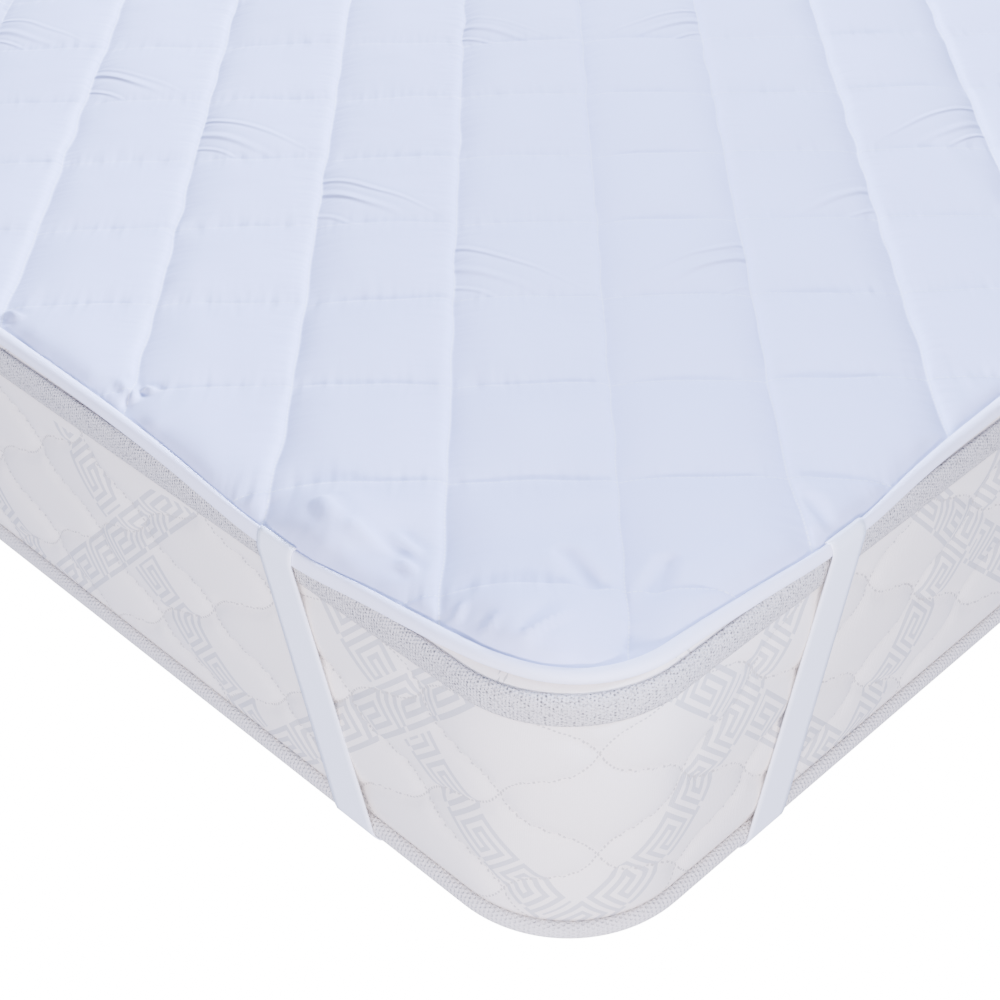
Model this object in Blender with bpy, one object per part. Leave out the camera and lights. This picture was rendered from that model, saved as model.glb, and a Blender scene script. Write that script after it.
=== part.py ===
"""Quilted waterproof mattress protector with corner straps, on its mattress.

The origin is the middle of the mattress's underside, +Z is up, and the mattress is
longest along Y. The protector is a quilted panel with a folded binding round its rim and
one elastic strap under each corner of the mattress. Lengths are in metres.
"""

import math

import bmesh
import bpy
import numpy as np
from mathutils import Matrix, Vector

MM = 0.001
GAP = 0.3 * MM

# Mattress: its wall plane is a rounded rectangle, and heights are from the floor.
WIDTH, LENGTH = 0.900, 2.000
CORNER_RADIUS = 0.078
CORNER_STEPS = 8
TOP = 0.179

# Rounded edge tapes. The wall is recessed behind them, and bulges between them.
TAPE_DEPTH = 5.5 * MM
TAPE_PROUD = 1.5 * MM
BOTTOM_TAPE = (1.6 * MM, 12.4 * MM)
TOP_TAPE = (TOP - 23 * MM, TOP - 5 * MM)
WALL_RECESS = 2.5 * MM
WALL_BULGE = 0.3 * MM
WALL_PARTS = (0.0, 0.12, 0.32, 0.68, 0.88, 1.0)
BASE_RIM = 14 * MM

# The mattress's top edge as (inset, drop from the top), in millimetres.
TOP_EDGE = ((12.0, 3.0), (25.0, 1.0), (45.0, 0.0))

# Quilted panel: stitched squares turned by 45 degrees. One crossing of the stitched lines
# is given from the front left corner, and heights are from the mattress's top.
PITCH = 0.090
SQUARE_STEPS = (0.0, 0.22, 0.78)
CROSSING = (0.090 - WIDTH / 2, 0.050 - LENGTH / 2)
PAD_INSET = 4.5 * MM
SEAM_LOW, CROWN = 4.4 * MM, 8.6 * MM
LAP_BOTTOM, LAP_TOP = 1.7 * MM, 3.2 * MM
RIM_EDGE = 2.8 * MM
LAP = 9.5 * MM
RISE_END = 25 * MM
UNDERSIDE_LAP, UNDERSIDE_STEP = 11 * MM, 15 * MM
RIM_FLAT_FROM = 32 * MM
RIM_SAG = 1.5 * MM
SHIFT_FADE = 60 * MM

# Binding: out from the panel's rim and up from the mattress's top, in millimetres.
BINDING_PROFILE = (
    (-9.0, 3.6), (-9.0, 4.9), (-5.6, 6.5), (-2.4, 6.5), (-0.4, 4.6),
    (-0.4, 2.0), (-2.2, 0.3), (-9.0, 0.3), (-9.0, 1.3), (-2.4, 1.3), (-2.4, 3.6),
)

# The strap's inner face over the binding, measured as the binding's profile is.
STRAP_OVER_BINDING = ((-10.2, 5.3), (-9.0, 5.5), (-5.7, 7.1), (-2.1, 7.1), (0.2, 4.9), (0.3, 1.5))

# Straps: flat elastic, placed by its distance from the mattress's square corner, on the
# sides that run along X and along Y. Each strap end draws the rim out and down, less so to
# both sides until the pull is spent.
STRAP_WIDTH, STRAP_THICKNESS = 0.030, 1.2 * MM
STRAP_TOP_AT = (0.194, 0.208)
STRAP_BOTTOM_AT = (0.154, 0.162)
PULL_OUT, PULL_DOWN = 7 * MM, 6 * MM
PULL_HALF, PULL_REACH = 16 * MM, 62 * MM
PULL_STEPS = 3
STRAP_REST = 0.5 * MM
TURN_INSET = 0.2 * MM
BASE_SPREAD = 5 * MM
BASE_STEPS = 10
GROOVE_WIDTH, GROOVE_DEPTH = 0.034, 1.5 * MM

# How far the rim stands out of its line along the two sides that meet at the front left
# corner, by the distance from that corner. The other two sides are straight.
RIM_LINE = {
    "left": {
        "at": (0.0, 0.078, 0.130, 0.300, 0.420, 0.700),
        "out_mm": (-4.0, -5.0, -1.0, 0.0, -2.5, 0.0),
    },
    "front": {
        "at": (0.0, 0.078, 0.140, 0.300, 0.360, 0.450),
        "out_mm": (3.5, 4.5, 5.0, 2.5, -1.5, 0.0),
    },
}

# Each side of the rim: the axis it runs along, and the way it faces.
SIDES = {"left": (1, -1), "right": (1, 1), "front": (0, -1), "back": (0, 1)}
CORNERS = {"front_left": (-1, -1), "front_right": (1, -1), "back_right": (1, 1), "back_left": (-1, 1)}


def start_clean():
    for thing in list(bpy.data.objects):
        bpy.data.objects.remove(thing, do_unlink=True)


def collection(name):
    made = bpy.data.collections.new(name)
    bpy.context.scene.collection.children.link(made)
    return made


def material(name, colour, roughness, metallic=0.0):
    made = bpy.data.materials.new(name)
    made.use_nodes = True
    shader = made.node_tree.nodes["Principled BSDF"]
    shader.inputs["Base Color"].default_value = (*colour, 1.0)
    shader.inputs["Roughness"].default_value = roughness
    shader.inputs["Metallic"].default_value = metallic
    made.diffuse_color = (*colour, 1.0)
    return made


def add_object(name, mesh, group, finish):
    thing = bpy.data.objects.new(name, mesh)
    group.objects.link(thing)
    mesh.materials.append(finish)
    return thing


def finished_mesh(name, bm):
    """A mesh from bm with its faces turned outwards and its soft edges shaded smooth."""
    bmesh.ops.recalc_face_normals(bm, faces=bm.faces)
    mesh = bpy.data.meshes.new(name)
    bm.to_mesh(mesh)
    bm.free()
    mesh.shade_smooth()
    mesh.set_sharp_from_angle(angle=math.radians(40))
    return mesh


def side_length(name):
    return (WIDTH, LENGTH)[SIDES[name][0]]


def side_places(name):
    """Places along a side, from its end at the front or the left, where the rim bends."""
    length = side_length(name)
    ramp = np.linspace(PULL_HALF, PULL_REACH, PULL_STEPS + 1)
    bends = [STRAP_TOP_AT[SIDES[name][0]] + step for step in (*-ramp, *ramp)]
    places = bends + [length - place for place in bends]
    if name in RIM_LINE:
        places += [place for place in RIM_LINE[name]["at"] if place > CORNER_RADIUS]
    return np.array(sorted(places))


def outline(inset, side_stations=False):
    """The rounded rectangle that lies `inset` inside the wall plane, counter-clockwise."""
    radius = CORNER_RADIUS - inset
    points = []
    for quarter, (sx, sy) in enumerate(((1, 1), (-1, 1), (-1, -1), (1, -1))):
        centre = Vector((sx * (WIDTH / 2 - CORNER_RADIUS), sy * (LENGTH / 2 - CORNER_RADIUS)))
        for step in range(CORNER_STEPS + 1):
            angle = (quarter + step / CORNER_STEPS) * math.pi / 2
            points.append((centre.x + radius * math.cos(angle), centre.y + radius * math.sin(angle)))
        if side_stations:
            name = ("back", "left", "front", "right")[quarter]
            axis, facing = SIDES[name]
            places = side_places(name) - side_length(name) / 2
            wall = facing * ((LENGTH, WIDTH)[axis] / 2 - inset)
            for place in places if quarter >= 2 else places[::-1]:
                points.append((place, wall) if axis == 0 else (wall, place))
    return np.array(points)


def spine_point(flat):
    """The nearest point of the rectangle that joins the centres of the corner arcs."""
    reach = np.array([WIDTH / 2 - CORNER_RADIUS, LENGTH / 2 - CORNER_RADIUS])
    return np.clip(flat, -reach, reach)


def depth_inside(flat):
    """How far each point lies inside the panel's rim; negative outside it."""
    return CORNER_RADIUS - PAD_INSET - np.linalg.norm(flat - spine_point(flat), axis=1)


def settled(points):
    """The panel's rim as it lies: out of line, drawn by the straps, and less so inwards."""
    points = np.array(points, dtype=float)
    flat = points[:, :2].copy()
    downwards = np.clip(1 - depth_inside(flat) / RIM_FLAT_FROM, 0, 1) ** 2
    points[:, 2] -= RIM_SAG * downwards
    for name, (axis, facing) in SIDES.items():
        length = side_length(name)
        place = flat[:, axis] + length / 2
        from_strap = np.abs(np.minimum(place, length - place) - STRAP_TOP_AT[axis])
        pull = np.clip((PULL_REACH - from_strap) / (PULL_REACH - PULL_HALF), 0, 1)
        out = PULL_OUT * pull
        if name in RIM_LINE:
            line = RIM_LINE[name]
            out = out + MM * np.interp(place, line["at"], line["out_mm"])
        depth = (LENGTH, WIDTH)[axis] / 2 - PAD_INSET - facing * flat[:, 1 - axis]
        near = np.clip(1 - depth / SHIFT_FADE, 0, 1) ** 2
        points[:, 1 - axis] += facing * out * near
        points[:, 2] -= PULL_DOWN * pull * downwards * (near > 0)
    return points


def lofted(name, rings, along=False):
    """A closed solid through rings of points, capped at both ends unless it closes on itself."""
    rings = np.asarray(rings)
    rows, columns = rings.shape[:2]
    bm = bmesh.new()
    grid = [[bm.verts.new(point) for point in ring] for ring in rings]
    for row in range(rows if along else rows - 1):
        after = grid[(row + 1) % rows]
        for column in range(columns):
            beside = (column + 1) % columns
            bm.faces.new((grid[row][column], grid[row][beside], after[beside], after[column]))
    if not along:
        bm.faces.new(grid[0])
        bm.faces.new(grid[-1])
    return finished_mesh(name, bm)


def level(inset, height):
    """One level ring of the mattress at a height."""
    flat = outline(inset)
    return np.column_stack([flat, np.full(len(flat), height)])


def mattress_body_mesh():
    behind = TAPE_DEPTH + GAP
    wall_low, wall_high = BOTTOM_TAPE[1] + GAP, TOP_TAPE[0] - GAP
    rise = wall_high - wall_low
    levels = [
        (BASE_RIM, 0.0),
        (BASE_RIM - 1 * MM, BOTTOM_TAPE[0]),
        (behind, BOTTOM_TAPE[0]),
        (behind, wall_low),
    ]
    for part in WALL_PARTS:
        bulge = 1 - (2 * part - 1) ** 2
        levels.append((WALL_RECESS - (WALL_RECESS + WALL_BULGE) * bulge, wall_low + part * rise))
    levels += [(behind, wall_high), (behind, TOP_TAPE[1] - 0.5 * MM)]
    levels += [(inset * MM, TOP - drop * MM) for inset, drop in TOP_EDGE]
    return lofted("mattress_body", [level(inset, height) for inset, height in levels])


def tape_mesh(name, profile):
    """A tape round the mattress, from its (inset, height) profile."""
    rings = np.stack([level(inset, height) for inset, height in profile])
    return lofted(name, rings.transpose(1, 0, 2), along=True)


def bottom_tape_mesh():
    low, high = BOTTOM_TAPE
    face = -TAPE_PROUD
    return tape_mesh("bottom_edge_tape", [
        (TAPE_DEPTH, low), (face + 2.1 * MM, low), (face + 0.6 * MM, low + 2 * MM), (face, low + 4 * MM),
        (face, high - 4 * MM), (face + 1 * MM, high - 1.5 * MM), (face + 3.5 * MM, high), (TAPE_DEPTH, high),
    ])


def top_tape_mesh():
    low, high = TOP_TAPE
    face = 1 * MM
    return tape_mesh("top_edge_tape", [
        (TAPE_DEPTH, low), (face + 1 * MM, low), (face, low + 3 * MM), (face, high - 6 * MM),
        (face + 1.2 * MM, high - 2 * MM), (face + 3 * MM, high - 0.4 * MM), (TAPE_DEPTH, high),
    ])


def binding_mesh():
    profile = np.array(BINDING_PROFILE) * MM
    rings = []
    for out, up in profile:
        flat = outline(PAD_INSET - out, side_stations=True)
        rings.append(settled(np.column_stack([flat, np.full(len(flat), TOP + up)])))
    return lofted("pad_binding", np.stack(rings).transpose(1, 0, 2), along=True)


def stepped(value):
    """A lattice coordinate in equal steps, moved to the uneven steps of one square."""
    steps = len(SQUARE_STEPS)
    square, part = divmod(round(value), steps)
    return square + SQUARE_STEPS[part]


def cut_along(bm, flat, clear):
    """Cut the sheet along each straight edge of a convex outline, and clear what is outside."""
    for start, end in zip(flat, np.roll(flat, -1, axis=0)):
        run = end - start
        if np.hypot(*run) < 0.1 * MM:
            continue
        bmesh.ops.bisect_plane(
            bm, geom=bm.verts[:] + bm.edges[:] + bm.faces[:], dist=0.01 * MM,
            plane_co=(*start, 0), plane_no=Vector((run[1], -run[0], 0)).normalized(),
            clear_outer=clear,
        )


def cut_rim_stations(bm):
    """Cut the sheet's lap across at the places where the rim bends, as the binding does."""
    for name, (axis, facing) in SIDES.items():
        wall = (LENGTH, WIDTH)[axis] / 2 - PAD_INSET - LAP
        for place in side_places(name) - side_length(name) / 2:
            lap = [face for face in bm.faces if facing * face.calc_center_median()[1 - axis] > wall]
            edges = {edge for face in lap for edge in face.edges}
            verts = {vert for face in lap for vert in face.verts}
            middle, normal = [0.0, 0.0, 0.0], [0.0, 0.0, 0.0]
            middle[axis], normal[axis] = place, 1.0
            bmesh.ops.bisect_plane(
                bm, geom=list(verts) + list(edges) + lap, dist=0.01 * MM,
                plane_co=middle, plane_no=normal,
            )


def crown_of(value):
    """0 on a stitched line, 1 over most of the square between two lines."""
    part = value - math.floor(value)
    return min(1.0, min(part, 1 - part) / SQUARE_STEPS[1])


def top_height(x, y, depth):
    """Height of the quilted face above the mattress's top."""
    if depth <= LAP + 0.2 * MM:
        return LAP_TOP
    along, across = lattice_place(x, y)
    rise = min(1.0, (depth - LAP) / (RISE_END - LAP))
    low = LAP_TOP + (SEAM_LOW - LAP_TOP) * rise
    return low + (CROWN - SEAM_LOW) * rise * crown_of(along) * crown_of(across)


def lattice_place(x, y):
    """Where a point lies in the turned lattice, in pitches."""
    dx, dy = x - CROSSING[0], y - CROSSING[1]
    return (dx + dy) / math.sqrt(2) / PITCH, (dy - dx) / math.sqrt(2) / PITCH


def turned_lattice():
    """A flat sheet of the stitched squares that reaches past the panel on every side."""
    squares = math.ceil((WIDTH + LENGTH) / math.sqrt(2) / 2 / PITCH) + 1
    segments = 2 * squares * len(SQUARE_STEPS)
    bm = bmesh.new()
    bmesh.ops.create_grid(bm, x_segments=segments, y_segments=segments, size=segments / 2)
    for vert in bm.verts:
        vert.co = Vector((stepped(vert.co.x), stepped(vert.co.y), 0)) * PITCH
    turn = Matrix.Rotation(math.radians(45), 4, "Z")
    along, across = lattice_place(0, 0)
    nearest = turn @ Vector((round(along), round(across), 0)) * PITCH
    place = Matrix.Translation(nearest + Vector((*CROSSING, 0)))
    bmesh.ops.transform(bm, matrix=place @ turn, verts=bm.verts)
    return bm


def ring_edges(verts):
    return list(zip(verts, verts[1:] + verts[:1]))


def close_underside(bm):
    """Turn the sheet's edge down and in below the lap, and close it in rings that grow flat."""
    edges = [edge for edge in bm.edges if edge.is_boundary]
    for depth in (RIM_EDGE, UNDERSIDE_LAP):
        made = bmesh.ops.extrude_edge_only(bm, edges=edges)["geom"]
        edges = [item for item in made if isinstance(item, bmesh.types.BMEdge)]
        for vert in {vert for edge in edges for vert in edge.verts}:
            spine = spine_point(np.array(vert.co[:2]))
            away = np.array(vert.co[:2]) - spine
            radius = CORNER_RADIUS - PAD_INSET - depth
            vert.co = (*(spine + away * radius / np.linalg.norm(away)), TOP + LAP_BOTTOM)
    rings = []
    for depth in (UNDERSIDE_STEP, RIM_FLAT_FROM):
        flat = outline(PAD_INSET + depth, side_stations=True)
        rings.append([bm.verts.new((x, y, TOP + GAP)) for x, y in flat])
    inner = [bm.edges.new(pair) for pair in ring_edges(rings[0])]
    bmesh.ops.triangle_fill(bm, use_beauty=True, edges=edges + inner, normal=(0, 0, -1))
    for (here, beside), (under, under_beside) in zip(ring_edges(rings[0]), ring_edges(rings[1])):
        bm.faces.new((here, under, under_beside, beside))
    bm.faces.new(rings[-1])


def quilted_pad_mesh():
    bm = turned_lattice()
    cut_along(bm, outline(PAD_INSET + RIM_EDGE), clear=True)
    cut_along(bm, outline(PAD_INSET + LAP), clear=False)
    cut_rim_stations(bm)
    flat = np.array([vert.co[:2] for vert in bm.verts])
    for vert, depth in zip(bm.verts, depth_inside(flat)):
        vert.co.z = TOP + top_height(vert.co.x, vert.co.y, depth)
    close_underside(bm)
    points = settled([vert.co[:] for vert in bm.verts])
    for vert, point in zip(bm.verts, points):
        vert.co = point
    return finished_mesh("quilted_pad", bm)


def strap_rows(axis):
    """Down a wall that runs along `axis`: (inset, place, height) of the inner face's edges.

    The place is measured along the wall from the mattress's square corner. The first rows
    follow the binding, and the rest hang straight and turn under the bottom tape.
    """
    over_binding = [(PAD_INSET - out * MM, TOP + up * MM) for out, up in STRAP_OVER_BINDING]
    face = -TAPE_PROUD - STRAP_REST
    low, high = BOTTOM_TAPE
    down = [(face, high - 3 * MM), (face, low + 6 * MM), (face + STRAP_REST, low + 2.8 * MM),
            (TURN_INSET, STRAP_THICKNESS)]
    slant = STRAP_TOP_AT[axis] - STRAP_BOTTOM_AT[axis]
    half = STRAP_WIDTH / 2 / math.cos(math.atan2(slant, TOP))
    rows = []
    for inset, height in over_binding + down:
        part = np.clip((TOP - height) / TOP, 0, 1)
        middle = STRAP_TOP_AT[axis] - slant * part
        rows.append([(inset, middle - half, height), (inset, middle + half, height)])
    return np.array(rows)


def strap_wall(sx, sy, across):
    """Edges and outward normals of the strap on the wall that faces along axis `across`."""
    rows = strap_rows(1 - across)
    if across == 1:
        rows = rows[:, :, [1, 0, 2]]
    rows = rows * (-sx, -sy, 1) + (sx * WIDTH / 2, sy * LENGTH / 2, 0)
    soft = len(STRAP_OVER_BINDING)
    rows[:soft] = settled(rows[:soft].reshape(-1, 3)).reshape(soft, 2, 3)
    run = np.gradient(rows.mean(axis=1), axis=0)[:, [across, 2]]
    run /= np.linalg.norm(run, axis=1)[:, None]
    facing = (sx, sy)[across]
    normals = np.zeros((len(rows), 3))
    normals[:, across] = -facing * run[:, 1]
    normals[:, 2] = facing * run[:, 0]
    normals[-1] = (0, 0, -1)
    return rows, normals


def strap_base(sx, sy):
    """Edges of the strap under the corner, from one wall to the other, a little spread."""
    ends = strap_rows(0)[-1, :, 1], strap_rows(1)[-1, :, 1]
    rows = []
    for part in np.linspace(0, 1, BASE_STEPS + 1)[1:-1]:
        spread = BASE_SPREAD * math.sin(math.pi * part) * np.array([-1, 1])
        along_x = TURN_INSET + (ends[0] - TURN_INSET) * part + spread / 2
        along_y = ends[1] + (TURN_INSET - ends[1]) * part + spread / 2
        rows.append(np.column_stack([along_x, along_y, np.full(2, STRAP_THICKNESS)]))
    return np.array(rows) * (-sx, -sy, 1) + (sx * WIDTH / 2, sy * LENGTH / 2, 0)


def strap_mesh(name, sx, sy):
    """One strap: over the binding, down one wall, under the corner and up the other wall."""
    first, first_normals = strap_wall(sx, sy, across=0)
    base = strap_base(sx, sy)
    last, last_normals = strap_wall(sx, sy, across=1)
    edges = np.concatenate([first, base, last[::-1]])
    down = np.tile((0.0, 0.0, -1.0), (len(base), 1))
    out = np.concatenate([first_normals, down, last_normals[::-1]]) * STRAP_THICKNESS
    return lofted(name, np.stack([edges[:, 0], edges[:, 1], edges[:, 1] + out, edges[:, 0] + out], axis=1))


def groove_cutter(group, sx, sy):
    """The shallow dent that a strap presses into the mattress's underside."""
    bpy.ops.mesh.primitive_cube_add(size=1)
    cutter = bpy.context.object
    cutter.name = "strap_groove_cutter"
    for home in list(cutter.users_collection):
        home.objects.unlink(cutter)
    group.objects.link(cutter)
    along_x, along_y = STRAP_BOTTOM_AT
    reach = math.hypot(along_x, along_y)
    turn = Matrix.Rotation(math.atan2(sy * along_y, -sx * along_x), 4, "Z")
    place = Matrix.Translation((sx * (WIDTH - along_x) / 2, sy * (LENGTH - along_y) / 2, 0))
    cutter.data.transform(place @ turn @ Matrix.Diagonal((reach, GROOVE_WIDTH, 2 * GROOVE_DEPTH, 1)))
    cutter.hide_render = True
    cutter.display_type = "WIRE"
    return cutter


def main():
    start_clean()
    group = collection("mattress_protector_on_mattress")
    cutters = collection("cutters")
    cloth = material("protector_cotton", (0.80, 0.84, 0.92), 0.85)
    edging = material("binding_tape", (0.88, 0.90, 0.97), 0.80)
    elastic = material("elastic", (0.84, 0.87, 0.94), 0.75)
    ticking = material("mattress_ticking", (0.78, 0.78, 0.79), 0.85)
    tape = material("mattress_tape", (0.84, 0.84, 0.84), 0.90)

    add_object("quilted_pad", quilted_pad_mesh(), group, cloth)
    add_object("pad_binding", binding_mesh(), group, edging)
    mattress = add_object("mattress_body", mattress_body_mesh(), group, ticking)
    add_object("top_edge_tape", top_tape_mesh(), group, tape)
    add_object("bottom_edge_tape", bottom_tape_mesh(), group, tape)
    for corner, (sx, sy) in CORNERS.items():
        name = f"strap_{corner}"
        add_object(name, strap_mesh(name, sx, sy), group, elastic)
        cut = mattress.modifiers.new(f"groove_{corner}", "BOOLEAN")
        cut.operation, cut.solver = "DIFFERENCE", "EXACT"
        cut.object = groove_cutter(cutters, sx, sy)


main()
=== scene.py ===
"""Cloth surfaces of a quilted mattress protector and the mattress that it lies on.

Lengths are in metres, +Z is up, and the origin is the middle of the mattress's underside.
The mattress is longest along Y. Places along its wall are measured on the wall plane from
the middle of the front left corner's arc, first along the front.
"""

import math

import bmesh
import bpy
import numpy as np
from mathutils import Matrix, Vector


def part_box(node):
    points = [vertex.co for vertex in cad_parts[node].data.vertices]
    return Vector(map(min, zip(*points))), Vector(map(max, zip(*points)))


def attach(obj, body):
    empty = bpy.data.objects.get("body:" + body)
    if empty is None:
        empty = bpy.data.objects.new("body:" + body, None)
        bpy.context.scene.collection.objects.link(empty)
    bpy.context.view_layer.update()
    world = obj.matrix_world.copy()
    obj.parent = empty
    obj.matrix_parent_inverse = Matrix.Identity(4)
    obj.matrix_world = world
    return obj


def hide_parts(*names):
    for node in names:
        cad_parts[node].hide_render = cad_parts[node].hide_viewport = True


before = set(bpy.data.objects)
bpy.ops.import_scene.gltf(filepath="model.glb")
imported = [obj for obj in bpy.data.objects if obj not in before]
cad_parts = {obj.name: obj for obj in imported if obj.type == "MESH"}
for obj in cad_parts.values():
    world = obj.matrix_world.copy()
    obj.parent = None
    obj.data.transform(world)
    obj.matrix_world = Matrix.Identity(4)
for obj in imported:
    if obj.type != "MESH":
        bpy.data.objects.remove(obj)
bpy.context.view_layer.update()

bl_info = {
    "name": "Mattress Protector",
    "version": (1, 0, 0),
    "blender": (4, 5, 0),
    "location": "View3D > Sidebar > Protector",
    "description": "Quilted panel, binding, elastic straps and mattress as finished cloth",
    "category": "Add Mesh",
}

MM = 0.001

# The mattress, read from the frame. The bottom tape stands proud of the wall plane.
TAPE_PROUD = 1.5 * MM
BOTTOM_TAPE_LOW, BOTTOM_TAPE_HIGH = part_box("bottom_edge_tape")
TOP_TAPE_LOW, TOP_TAPE_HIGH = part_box("top_edge_tape")
WIDTH = BOTTOM_TAPE_HIGH.x - BOTTOM_TAPE_LOW.x - 2 * TAPE_PROUD
LENGTH = BOTTOM_TAPE_HIGH.y - BOTTOM_TAPE_LOW.y - 2 * TAPE_PROUD
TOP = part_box("mattress_body")[1].z
CORNER_RADIUS = 78 * MM
ARC = CORNER_RADIUS * math.pi / 2
PERIMETER = 2 * (WIDTH + LENGTH) - 8 * CORNER_RADIUS + 4 * ARC

# The stitched squares stand at 45 degrees to the sides. One crossing is given from the
# square front left corner. Along runs away from that corner, across runs to the left.
PITCH = 90 * MM
CROSSING = np.array([0.090 - WIDTH / 2, 0.050 - LENGTH / 2])

# The panel's rim, by its depth inside the wall plane and then by depths inside the rim.
PAD_INSET = 4.5 * MM
RIM_EDGE = 2.8 * MM
SEAM_DEPTH = 9 * MM
RIM_FLAT_FROM = 32 * MM
SHIFT_FADE = 60 * MM
RIM_SAG = 1.5 * MM

# The quilted face starts to rise just outside the binding's seam, and is gathered beside it.
SEAM_START = 8.7 * MM
GATHER_REACH = 9 * MM

# The quilting's own unevenness: height in mm, wave length and seed, over all the panel, on
# the pillows and in the gathers. The stitched lines wander sideways.
LOOSENESS = ((0.7, 0.16, 4), (0.35, 0.045, 5), (0.7, 0.021, 8))
SEAM_WANDER = 0.7 * MM

# Turns the sine that makes each pillow a little fuller or flatter than its neighbours.
FULLNESS_TURN = np.array([12.9898, 78.233]) * 43.0

# The panel's underside, from the rim inwards: depth inside the rim, and height in mm. The
# binding lies in the slot, and the rest is flat on the mattress.
UNDERSIDE = ((RIM_EDGE, 1.7), (11 * MM, 1.7), (15 * MM, 0.3), (RIM_FLAT_FROM, 0.3))

# Grid steps to a square of the quilting: (squares from the corner or middle, steps), and
# the steps further away. More steps show the folds beside the corner.
STEPS_ALONG = ((2, 44), (4, 36), (8, 24))
STEPS_ACROSS = ((3, 36), (5, 24))
STEPS_FAR = 8

# Straps: the middles of their ends, from the square corner on the sides along X and Y.
STRAP_TOP_AT = (0.204, 0.212)
STRAP_BOTTOM_AT = (0.150, 0.162)
STRAP_WIDTH, STRAP_THICKNESS = 30 * MM, 1.1 * MM
STRAP_END_SHARE = 0.86
STRAP_NARROWING = 50 * MM
STRAP_END_THICKNESS = (0.25, 0.5, 0.8)
STRAP_UNDER_SPREAD = 2.5 * MM

# How the straps draw the rim, on the sides along X and Y. The widths are those towards the
# corner and away from it, and the pull starts and is full at these distances from the corner.
PULL_OUT, PULL_DOWN = (12 * MM, 13.7 * MM), (5 * MM, 11 * MM)
PULL_HALF = 12 * MM
PULL_WIDE = ((56 * MM, 56 * MM), (62 * MM, 85 * MM))
PULL_FROM, PULL_FULL = 50 * MM, 130 * MM
PULL_TIP = 0.64

# How far the rim stands out of line beside the front left corner, in millimetres.
RIM_LINE = {
    "left": {
        "at": (0.0, 0.058, 0.095, 0.300),
        "out_mm": (-5.5, -4.0, 0.0, 0.0),
    },
    "front": {
        "at": (0.0, 0.058, 0.140, 0.300),
        "out_mm": (-1.5, 0.0, 0.3, 0.0),
    },
}

# The mattress's sides as (the axis that they run along, the way that they face), and corners.
SIDES = {"left": (1, -1), "right": (1, 1), "front": (0, -1), "back": (0, 1)}
CORNERS = {"front_left": (-1, -1), "front_right": (1, -1), "back_right": (1, 1), "back_left": (-1, 1)}

# Binding: out from the panel's rim and up from the mattress's top, in millimetres. It
# starts at the inner seam, goes over the roll and under the rim, and back along its slot.
BINDING_SECTION = (
    (-8.9, 3.7), (-8.9, 4.3), (-8.3, 5.0), (-7.4, 5.7), (-6.2, 6.3), (-4.8, 6.6), (-3.4, 6.5), (-2.1, 6.0),
    (-1.1, 5.1), (-0.5, 4.0), (-0.4, 2.8), (-0.7, 1.7), (-1.5, 0.8), (-2.8, 0.35), (-5.5, 0.3), (-9.0, 0.3),
    (-9.0, 1.3), (-5.5, 1.3), (-2.6, 1.4), (-2.0, 2.4), (-2.6, 3.5), (-5.5, 3.6),
)

# Strap's inner face over the binding, measured as the binding's section is.
STRAP_OVER_BINDING = (
    (-9.4, 4.6), (-8.9, 5.0), (-7.6, 6.1), (-6.2, 6.7), (-4.8, 6.9), (-3.4, 6.8), (-2.0, 6.4), (-0.8, 5.5),
    (0.0, 4.3), (0.3, 2.9), (0.3, 1.5),
)

# Greek key: one unit of the woven band, a row for each line of cells across it.
KEY_CHART = (
    "###########.",
    "#.........#.",
    "#.#######.#.",
    "#.#.....#.#.",
    "#.#.#####.#.",
    "#.#.#.....#.",
    "#.#.#######.",
    "#.#.........",
    "#.##########",
)

# Where the woven bands cross beside the front left corner: place along the wall, height.
# Further along the wall than KEY_REGULAR_FROM they are evenly spaced.
KEY_CROSSINGS = ((-0.340, 0.0983), (-0.104, 0.1217), (0.109, 0.1154), (0.307, 0.110))
KEY_REGULAR_FROM = 0.60

# A band has this many units of the key between two crossings, and starts this many cells in.
KEY_UNITS = 4.5
KEY_START = 5.5

# The border's ogee cells are moved this far along the wall and down.
OGEE_SHIFT = (12 * MM, 18 * MM)

# The mattress beyond its wall, in millimetres: depth inside the wall plane, and height above
# the floor or depth below its top. Behind the tapes it is drawn in, to just past their backs.
MATTRESS_UNDER = ((60, 1.3), (14, 1.3), (5.8, 1.6))
MATTRESS_OVER = ((5.8, 5.5), (12, 3), (25, 1), (45, 0), (70, 0))
TAPE_SLOT, TAPE_BACK = 5.8 * MM, -5.5 * MM

# How many rows the swept pieces have round the mattress.
BINDING_ROWS, TAPE_ROWS, WALL_ROWS = 1500, 1200, 1500

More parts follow.
